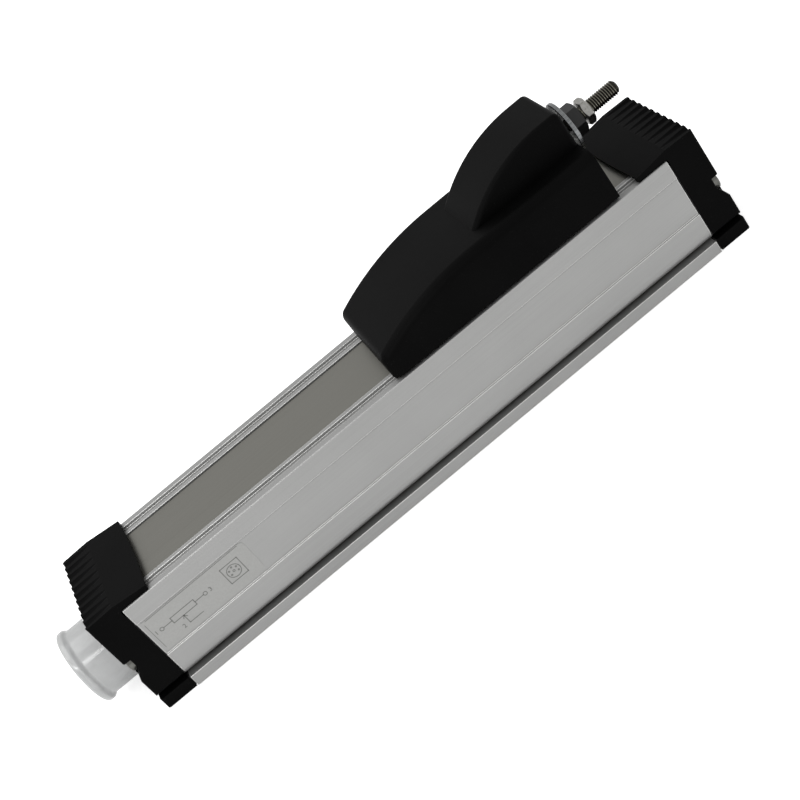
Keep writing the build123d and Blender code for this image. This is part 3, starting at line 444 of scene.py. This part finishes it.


# %% [markdown]
# ## The threaded ball stud
#
# The real stud is turned from one bar: a ball, a narrow neck, and an M5 thread with a pitch of 0.8 mm. Its
# finish comes first. The steel is zinc plated and chromated. Its colour runs from a dark olive in the
# thread's valleys to a pale one on its crests. This is partly oil and chromate in the valleys and rubbed
# crests, and partly painted shade in the valleys and a painted highlight on the crests. The two could be
# painted on the mesh, but the distance from the thread's axis tells them apart without painting on the mesh.

# %% Chromated steel with dark thread valleys
def chromated_thread(name, axis_point, root, crest, valley_colour, crest_colour):
    """A metal that is coloured by its distance from the thread's axis, given in metres."""
    material, tree, output = new_finish(name)
    place = node(tree, "ShaderNodeTexCoord")
    centred = node(tree, "ShaderNodeMapping", Vector=place.outputs["Object"],
                   Location=(0, -axis_point.y, -axis_point.z), Scale=(0, 1, 1))
    radius = node(tree, "ShaderNodeVectorMath", {"operation": "LENGTH"}, i0=centred.outputs["Vector"])
    # Painted shade in the valleys and a painted highlight on the crests, partly real oil, chromate and rubbed
    # crests.
    highlight_share = node(tree, "ShaderNodeMapRange", Value=radius.outputs["Value"],
                  From_Min=root * MM, From_Max=crest * MM)
    marks = grain_noise(tree, (400, 1500, 1500))
    bump = node(tree, "ShaderNodeBump", Strength=0.15, Distance=0.03 * MM, Height=marks.outputs["Fac"])
    sheen = node(tree, "ShaderNodeMapRange", Value=marks.outputs["Fac"], To_Min=0.2, To_Max=0.3)
    shader = node(tree, "ShaderNodeBsdfPrincipled", Metallic=1.0,
                  Base_Color=two_tone(tree, highlight_share.outputs["Result"], valley_colour, crest_colour,
                                      low=0.1, high=0.95),
                  Roughness=sheen.outputs["Result"], Normal=bump.outputs["Normal"])
    tree.links.new(shader.outputs["BSDF"], output.inputs["Surface"])
    return material


M5_CREST, M5_ROOT, M5_PITCH = 2.5, 2.1, 0.8
print("depth of the M5 thread in mm:", round(M5_CREST - M5_ROOT, 2))

# %% [markdown]
# The bare model has a plain rod in place of the thread. A thread can be a bump in the material, but its
# zigzag outline shows against the floor, so it is real geometry here: a core turned from an outline, and
# one tooth wound round it.

# %% Ball stud with its thread
stud_low, stud_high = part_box("ball_stud")
disc_low, disc_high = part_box("stud_disc")
ball_radius = (stud_high.z - stud_low.z) / 2 / MM
ball_centre = Vector((stud_low.x + ball_radius * MM, 0, (stud_low.z + stud_high.z) / 2))
disc_back, disc_front = ((v.x - ball_centre.x) / MM for v in (disc_low, disc_high))
stud_tip = (stud_high.x - ball_centre.x) / MM
NECK_RADIUS = 2.0
STUD_CHAMFER = 0.5
BALL_STEPS = 20

neck_angle = math.asin(NECK_RADIUS / ball_radius)
ball_arc = [math.pi - (math.pi - neck_angle) * i / BALL_STEPS for i in range(BALL_STEPS + 1)]
stud_outline = [(ball_radius * math.cos(a), ball_radius * math.sin(a)) for a in ball_arc]
stud_outline += [(disc_back, NECK_RADIUS), (disc_back, M5_CREST), (disc_front, M5_CREST),
                 (disc_front, M5_ROOT), (stud_tip - STUD_CHAMFER, M5_ROOT),
                 (stud_tip, M5_ROOT - STUD_CHAMFER), (stud_tip, 0)]
core = turn_outline("stud_core", ball_centre, stud_outline)
stud_turns = int((stud_tip - STUD_CHAMFER - disc_front) / M5_PITCH) - 1
thread_start = stud_tip - STUD_CHAMFER - (stud_turns + 1) * M5_PITCH
stud_thread = wind_thread("stud_thread", ball_centre, thread_start, M5_ROOT, M5_CREST, M5_PITCH,
                          stud_turns)
olive_zinc = chromated_thread("chromated zinc on steel", ball_centre, M5_ROOT, M5_CREST,
                              "2d2c27", "8b897f")
threaded_stud = finish_piece([core, stud_thread], "threaded_stud", "ball_stud",
                             olive_zinc)
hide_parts("ball_stud")

# %% [markdown]
# ## The connector under the dust cap
#
# Under the dust cap is a round connector with five pins. Its collar has a fine thread for the cable's ring
# nut, 16 mm across with a pitch of 0.75 mm. It shows only when the dust cap is pulled off, but then the eye
# goes to it, so its shell is turned again with chamfers and gets the thread.

# %% Connector shell with its thread
shell_low, shell_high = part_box("connector_shell")
shell_axis = Vector((0, 0, (shell_low.z + shell_high.z) / 2))
flange_radius = (shell_high.z - shell_low.z) / 2 / MM
mouth_x, tail_x = shell_low.x / MM, shell_high.x / MM
cap_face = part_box("left_cap")[0].x / MM
RIM_SETBACK = 1.5
rim_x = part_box("connector_insert")[0].x / MM + RIM_SETBACK
FLANGE_THICKNESS = 3.0
COLLAR_CREST, COLLAR_ROOT, COLLAR_PITCH = 8.0, 7.56, 0.75
SOCKET_RADIUS, INSERT_RADIUS, BODY_RADIUS = 6.6, 6.0, 7.0
SHELL_BEVEL = 0.35

flange_x = cap_face - FLANGE_THICKNESS
shell_outline = [
    (tail_x, INSERT_RADIUS), (tail_x, BODY_RADIUS), (cap_face, BODY_RADIUS),
    (cap_face, flange_radius), (flange_x + SHELL_BEVEL, flange_radius),
    (flange_x, flange_radius - SHELL_BEVEL), (flange_x, COLLAR_ROOT),
    (mouth_x + SHELL_BEVEL, COLLAR_ROOT), (mouth_x, COLLAR_ROOT - SHELL_BEVEL),
    (mouth_x, SOCKET_RADIUS + SHELL_BEVEL / 2), (mouth_x + SHELL_BEVEL / 2, SOCKET_RADIUS),
    (rim_x, SOCKET_RADIUS), (rim_x, INSERT_RADIUS), (tail_x, INSERT_RADIUS)]
shell = turn_outline("shell_body", shell_axis, shell_outline, steps=72)
PLAIN_TURNS = 3
collar_turns = int((flange_x - mouth_x) / COLLAR_PITCH) - PLAIN_TURNS
collar_thread = wind_thread("collar_thread", shell_axis, mouth_x + 2 * SHELL_BEVEL, COLLAR_ROOT,
                            COLLAR_CREST, COLLAR_PITCH, collar_turns, steps=48)
threaded_shell = finish_piece([shell, collar_thread], "threaded_connector_shell", "housing",
                              finishes["nickel_plate"])
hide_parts("connector_shell")

# %% [markdown]
# ## The dust cap
#
# The dust cap is soft, so all its corners are round, and its end is a thick bead that a finger can pull. A
# turned outline with small arcs gives these corners, and a half wave flares the sleeve softly into the bead.

# %% Dust cap with its bead
def corner(centre, radius, start, end, count=6):
    """Points along an arc of the outline, from one angle to another in degrees."""
    angles = [math.radians(start + (end - start) * i / count) for i in range(count + 1)]
    return [(centre[0] + radius * math.cos(a), centre[1] + radius * math.sin(a)) for a in angles]


dust_low, dust_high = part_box("dust_cap")
dust_axis = Vector((0, 0, (dust_low.z + dust_high.z) / 2))
bead_radius = (dust_high.z - dust_low.z) / 2 / MM
end_x, mouth = dust_low.x / MM, dust_high.x / MM
SLEEVE_RADIUS, BORE_RADIUS = 12.3, 10.85
FLARE_START, FLARE_END, FLARE_STEPS, BEAD_ROUND = 3.8, 1.8, 10, 1.0
FOOT_ROUND, END_THICKNESS, LIP_ROUND = 0.6, 1.2, 0.4
DISH_RIM, DISH_FLOOR, DISH_DEPTH = 0.8, 0.74, 0.25

cap_outline = [(end_x + END_THICKNESS, 0), (end_x + END_THICKNESS, BORE_RADIUS - FOOT_ROUND)]
cap_outline += corner((end_x + END_THICKNESS + FOOT_ROUND, BORE_RADIUS - FOOT_ROUND), FOOT_ROUND,
                      180, 90)
cap_outline += corner((mouth - LIP_ROUND, BORE_RADIUS + LIP_ROUND), LIP_ROUND, -90, 0, 4)
cap_outline += corner((mouth - LIP_ROUND, SLEEVE_RADIUS - LIP_ROUND), LIP_ROUND, 0, 90, 4)
for step in range(FLARE_STEPS + 1):
    part = step / FLARE_STEPS
    rise = (1 - math.cos(math.pi * part)) / 2
    along = end_x + FLARE_START + (FLARE_END - FLARE_START) * part
    cap_outline.append((along, SLEEVE_RADIUS + (bead_radius - SLEEVE_RADIUS) * rise))
cap_outline += corner((end_x + BEAD_ROUND, bead_radius - BEAD_ROUND), BEAD_ROUND, 90, 180)
cap_outline += [(end_x, bead_radius * DISH_RIM), (end_x + DISH_DEPTH, bead_radius * DISH_FLOOR),
                (end_x + DISH_DEPTH, 0)]
beaded_cap = turn_outline("beaded_cap", dust_axis, cap_outline, steps=96)
beaded_cap = finish_piece([beaded_cap], "beaded_dust_cap", "dust_cap",
                          finishes["clear_polyethylene"], smooth=40)
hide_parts("dust_cap")

# %% [markdown]
# ## Print on the wiring label
#
# The film in the front panel shows how the sensor is wired, and the connector's face with its five pins. The
# print could be drawn in the material, but flat strokes of ink are easier to place. Each is a thin plane or
# a ring of edges, and its place is given in millimetres from the film's lower left corner.

# %% Strokes and rings
film_low, film_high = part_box("wiring_label")
INK_WIDTH = 0.24
INK_THICKNESS = 0.02
FACING_FRONT = (math.radians(90), 0, 0)
ink_y = film_low.y - INK_THICKNESS * MM
film_long, film_tall = ((film_high[i] - film_low[i]) / MM for i in (0, 2))
ink = []


def on_film(along, up):
    """A point on the film, in mm from the film's lower left corner."""
    return Vector((film_low.x + along * MM, ink_y, film_low.z + up * MM))


def stroke(start, end, width=INK_WIDTH):
    """A straight stroke of ink between two points on the film."""
    first, last = on_film(*start), on_film(*end)
    run = last - first
    deselect()
    bpy.ops.mesh.primitive_plane_add(size=1, location=(first + last) / 2, rotation=FACING_FRONT)
    bar = bpy.context.object
    bar.dimensions = (run.length + width * MM, width * MM, 0)
    bar.rotation_euler.rotate_axis("Z", math.atan2(run.z, run.x))
    bpy.ops.object.transform_apply(location=True, rotation=True, scale=True)
    ink.append(bar)


def ring(centre, radius, width=INK_WIDTH):
    """A round line of ink: a circle of edges, extruded and shrunk in place."""
    deselect()
    bpy.ops.mesh.primitive_circle_add(vertices=40, radius=radius * MM, location=on_film(*centre),
                                      rotation=FACING_FRONT)
    bpy.ops.object.mode_set(mode="EDIT")
    bpy.ops.mesh.extrude_edges_move()
    shrink = 1 - width / radius
    bpy.ops.transform.resize(value=(shrink, shrink, shrink), center_override=on_film(*centre))
    bpy.ops.object.mode_set(mode="OBJECT")
    bpy.ops.object.transform_apply(location=True, rotation=True, scale=True)
    ink.append(bpy.context.object)


print("film in mm:", round(film_long, 1), "x", round(film_tall, 1))

# %% [markdown]
# The wires are numbered with plain digits. They could be drawn from strokes too, but a text object has good
# round shapes. It is converted to a mesh, because only meshes can be joined to the other marks.

# %% Digits
def digit(text, centre, height):
    """A printed digit, made a mesh before its place is applied."""
    deselect()
    bpy.ops.object.text_add(location=on_film(*centre), rotation=FACING_FRONT)
    letter = bpy.context.object
    letter.data.body = text
    letter.data.size = height * MM
    letter.data.align_x = "CENTER"
    letter.data.align_y = "CENTER"
    bpy.ops.object.convert(target="MESH")
    bpy.ops.object.transform_apply(location=True, rotation=True, scale=True)
    ink.append(bpy.context.object)


DIGIT_HEIGHT, DIGIT_GAP, DIGIT_LIFT = 2.2, 2.0, 0.2
print("digits in mm:", DIGIT_HEIGHT)

# %% [markdown]
# The diagram is the usual one for a potentiometer. The resistor is a box between two round terminals, the
# arrow of the wiper points at it from below, and the three wires are numbered.

# %% Wiring diagram
LINE_HEIGHT = 7.1
RESISTOR_LEFT, RESISTOR_RIGHT, RESISTOR_HALF_HEIGHT = 7.2, 16.0, 1.1
LEFT_TERMINAL, RIGHT_TERMINAL, TERMINAL_RADIUS = 3.3, 20.0, 0.75
WIPER_X, WIPER_LOW, WIPER_TAIL = 10.8, 2.6, 5.0
ARROW_HALF_WIDTH, ARROW_LENGTH = 0.7, 1.0

resistor_low, resistor_high = LINE_HEIGHT - RESISTOR_HALF_HEIGHT, LINE_HEIGHT + RESISTOR_HALF_HEIGHT
ring((LEFT_TERMINAL, LINE_HEIGHT), TERMINAL_RADIUS)
ring((RIGHT_TERMINAL, LINE_HEIGHT), TERMINAL_RADIUS)
stroke((LEFT_TERMINAL + TERMINAL_RADIUS, LINE_HEIGHT), (RESISTOR_LEFT, LINE_HEIGHT))
stroke((RESISTOR_RIGHT, LINE_HEIGHT), (RIGHT_TERMINAL - TERMINAL_RADIUS, LINE_HEIGHT))
for up in (resistor_low, resistor_high):
    stroke((RESISTOR_LEFT, up), (RESISTOR_RIGHT, up))
for along in (RESISTOR_LEFT, RESISTOR_RIGHT):
    stroke((along, resistor_low), (along, resistor_high))
stroke((WIPER_X, WIPER_LOW), (WIPER_X, resistor_low))
for side in (-ARROW_HALF_WIDTH, ARROW_HALF_WIDTH):
    stroke((WIPER_X + side, resistor_low - ARROW_LENGTH), (WIPER_X, resistor_low))
stroke((WIPER_X, WIPER_LOW), (WIPER_X + WIPER_TAIL, WIPER_LOW))
digit("1", (LEFT_TERMINAL - DIGIT_GAP, LINE_HEIGHT), DIGIT_HEIGHT)
digit("3", (RIGHT_TERMINAL + DIGIT_GAP, LINE_HEIGHT), DIGIT_HEIGHT)
digit("2", (WIPER_X - DIGIT_GAP, WIPER_LOW + DIGIT_LIFT), DIGIT_HEIGHT)
print("marks in the wiring diagram:", len(ink))

# %% [markdown]
# The square on the right is the connector seen from its open end, with five pins round the centre. A thin
# line borders the film on its left and along its top.

# %% Connector face and the film's border
FACE_X, FACE_Y = 30.9, 6.8
FACE_HALF, FACE_RADIUS, CENTRE_RADIUS = 3.2, 2.4, 0.45
PIN_COUNT, PIN_START, PIN_STEP = 5, -30, 60
PIN_CIRCLE, PIN_RADIUS = 1.5, 0.34
BORDER_INSET, BORDER_WIDTH, CORNER_GAP, RIGHT_GAP = 0.35, 0.16, 1, 2

face_left, face_right = FACE_X - FACE_HALF, FACE_X + FACE_HALF
face_low, face_high = FACE_Y - FACE_HALF, FACE_Y + FACE_HALF
for up in (face_low, face_high):
    stroke((face_left, up), (face_right, up))
for along in (face_left, face_right):
    stroke((along, face_low), (along, face_high))
ring((FACE_X, FACE_Y), FACE_RADIUS)
ring((FACE_X, FACE_Y), CENTRE_RADIUS)
for number in range(PIN_COUNT):
    turn = math.radians(PIN_START + PIN_STEP * number)
    ring((FACE_X + PIN_CIRCLE * math.cos(turn), FACE_Y + PIN_CIRCLE * math.sin(turn)), PIN_RADIUS)

border_top = film_tall - BORDER_INSET
stroke((BORDER_INSET, BORDER_INSET + CORNER_GAP), (BORDER_INSET, border_top - CORNER_GAP), BORDER_WIDTH)
stroke((BORDER_INSET + CORNER_GAP, border_top), (film_long - RIGHT_GAP, border_top), BORDER_WIDTH)
print("marks with the connector face and the border:", len(ink))

# %% [markdown]
# All marks become one piece, because they are one print. A flat sheet has no inside, so a Solidify modifier
# gives it the thickness of the ink, half of it to each side.

# %% Join the marks and give them the ink's thickness
deselect()
for mark in ink:
    mark.select_set(True)
bpy.context.view_layer.objects.active = ink[0]
bpy.ops.object.join()
print_marks = bpy.context.object
thick = print_marks.modifiers.new("ink", "SOLIDIFY")
thick.thickness = INK_THICKNESS * MM
thick.offset = 0
bpy.ops.object.modifier_apply(modifier=thick.name)
bpy.ops.object.mode_set(mode="EDIT")
bpy.ops.mesh.select_all(action="SELECT")
bpy.ops.mesh.normals_make_consistent(inside=False)
bpy.ops.object.mode_set(mode="OBJECT")
finish_piece([print_marks], "label_print", "housing",
             moulded("grey screen print ink", "60615e", "6a6b68", 0.5, 3000), smooth=20)

# %% [markdown]
# ## Studio and camera
#
# The picture was taken from the front and a little above, and the camera was rolled, so the housing runs up
# to the right. The camera's three axes are worked out from its azimuth, elevation and roll.

# %% Camera
AZIMUTH, ELEVATION, ROLL = (math.radians(a) for a in (-0.91, 30.91, -39.14))
TARGET = Vector((-1.16, 0.0, 19.76)) * MM
DISTANCE = 516.9 * MM
LENS, SENSOR = 74.71, 36
CLIP_NEAR, CLIP_FAR = 0.01, 20


def add_camera():
    """The camera on a sphere round the target, turned about its own line of sight by the roll."""
    back = Vector((math.sin(AZIMUTH) * math.cos(ELEVATION), -math.cos(AZIMUTH) * math.cos(ELEVATION),
                   math.sin(ELEVATION)))
    right = (-back).cross(Vector((0, 0, 1))).normalized()
    up = right.cross(-back)
    rolled_right = right * math.cos(ROLL) + up * math.sin(ROLL)
    rolled_up = up * math.cos(ROLL) - right * math.sin(ROLL)
    bpy.ops.object.camera_add(location=TARGET + back * DISTANCE)
    camera = bpy.context.object
    camera.rotation_euler = Matrix((rolled_right, rolled_up, back)).transposed().to_euler()
    camera.data.lens = LENS
    camera.data.sensor_width = SENSOR
    camera.data.clip_start = CLIP_NEAR
    camera.data.clip_end = CLIP_FAR
    bpy.context.scene.camera = camera
    return camera


camera = add_camera()
print("camera at, in mm:", [round(v / MM) for v in camera.location])

# %% [markdown]
# The picture's ground is white, but the part's shadow shows on it. So the floor glows where the camera sees
# it, straight or in a reflection, and is plain and matt for the light that it gives back to the part.

# %% Floor
FLOOR_SIZE, FLOOR_DROP = 6, 0.0002
REFLECTED_GLOW, SEEN_GLOW = 0.2, 0.55


def seen_directly(tree, ray):
    """1 where the camera looks at a surface straight, in a reflection or through glass, 0 for plain light."""
    direct = node(tree, "ShaderNodeMath", {"operation": "MAXIMUM"}, i0=ray.outputs["Is Camera Ray"],
                  i1=ray.outputs["Is Glossy Ray"])
    return node(tree, "ShaderNodeMath", {"operation": "MAXIMUM"}, i0=direct.outputs[0],
                i1=ray.outputs["Is Transmission Ray"]).outputs[0]


def add_floor():
    """A large matt floor just under the part, which keeps the part's shadow."""
    bpy.ops.mesh.primitive_plane_add(size=FLOOR_SIZE, location=(0, 0, -FLOOR_DROP))
    floor = bpy.context.object
    floor.name = "studio_floor"
    material, tree, output = new_finish("white studio floor")
    ray = node(tree, "ShaderNodeLightPath")
    matt = node(tree, "ShaderNodeBsdfDiffuse", Color=linear("f2f2f2"))
    strength = node(tree, "ShaderNodeMapRange", Value=ray.outputs["Is Camera Ray"],
                    To_Min=REFLECTED_GLOW, To_Max=SEEN_GLOW)
    glow = node(tree, "ShaderNodeEmission", Color=linear("ffffff"), Strength=strength.outputs["Result"])
    both = node(tree, "ShaderNodeAddShader", i0=matt.outputs[0], i1=glow.outputs[0])
    lit = seen_directly(tree, ray)
    seen = node(tree, "ShaderNodeMixShader", Fac=lit, i1=matt.outputs[0], i2=both.outputs[0])
    tree.links.new(seen.outputs[0], output.inputs["Surface"])
    floor.data.materials.append(material)
    return floor


floor = add_floor()
print("floor size in m:", [round(v, 1) for v in floor.dimensions[:2]])

# %% [markdown]
# The world is white behind the part, and a little dimmer as its light. It could light the part alone, but
# then the edges stay flat. So a wide softbox hangs above, and a narrow one at the front draws the bright
# lines along the edges.

# %% World and lamps
WORLD_LIGHT, BACKDROP_WHITE = 0.8, 1.0


def add_lamp(name, place, size, power, aim=(0, 0, 0.03)):
    """A rectangular softbox: its place and size in metres, its power in watts."""
    bpy.ops.object.light_add(type="AREA", location=place)
    lamp = bpy.context.object
    lamp.name = name
    lamp.data.shape = "RECTANGLE"
    lamp.data.size, lamp.data.size_y = size
    lamp.data.energy = power
    lamp.rotation_euler = (Vector(aim) - Vector(place)).to_track_quat("-Z", "Y").to_euler()
    return lamp


world = bpy.context.scene.world or bpy.data.worlds.new("studio")
bpy.context.scene.world = world
world.use_nodes = True
world.node_tree.nodes.clear()
sky = node(world.node_tree, "ShaderNodeBackground", Color=linear("ffffff"),
           Strength=WORLD_LIGHT)
backdrop = node(world.node_tree, "ShaderNodeBackground", Color=linear("ffffff"),
                Strength=BACKDROP_WHITE)
path = node(world.node_tree, "ShaderNodeLightPath")
mixed = node(world.node_tree, "ShaderNodeMixShader", Fac=path.outputs["Is Camera Ray"],
             i1=sky.outputs[0], i2=backdrop.outputs[0])
node(world.node_tree, "ShaderNodeOutputWorld", Surface=mixed.outputs[0])
lamps = [add_lamp("softbox_above", (-0.35, 0.1, 0.85), (0.7, 0.6), 2.5),
         add_lamp("strip_front", (-0.45, -0.75, 0.75), (0.7, 0.2), 3.2)]
print("lamps:", [lamp.name for lamp in lamps])
bpy.context.scene.view_settings.view_transform = "Standard"
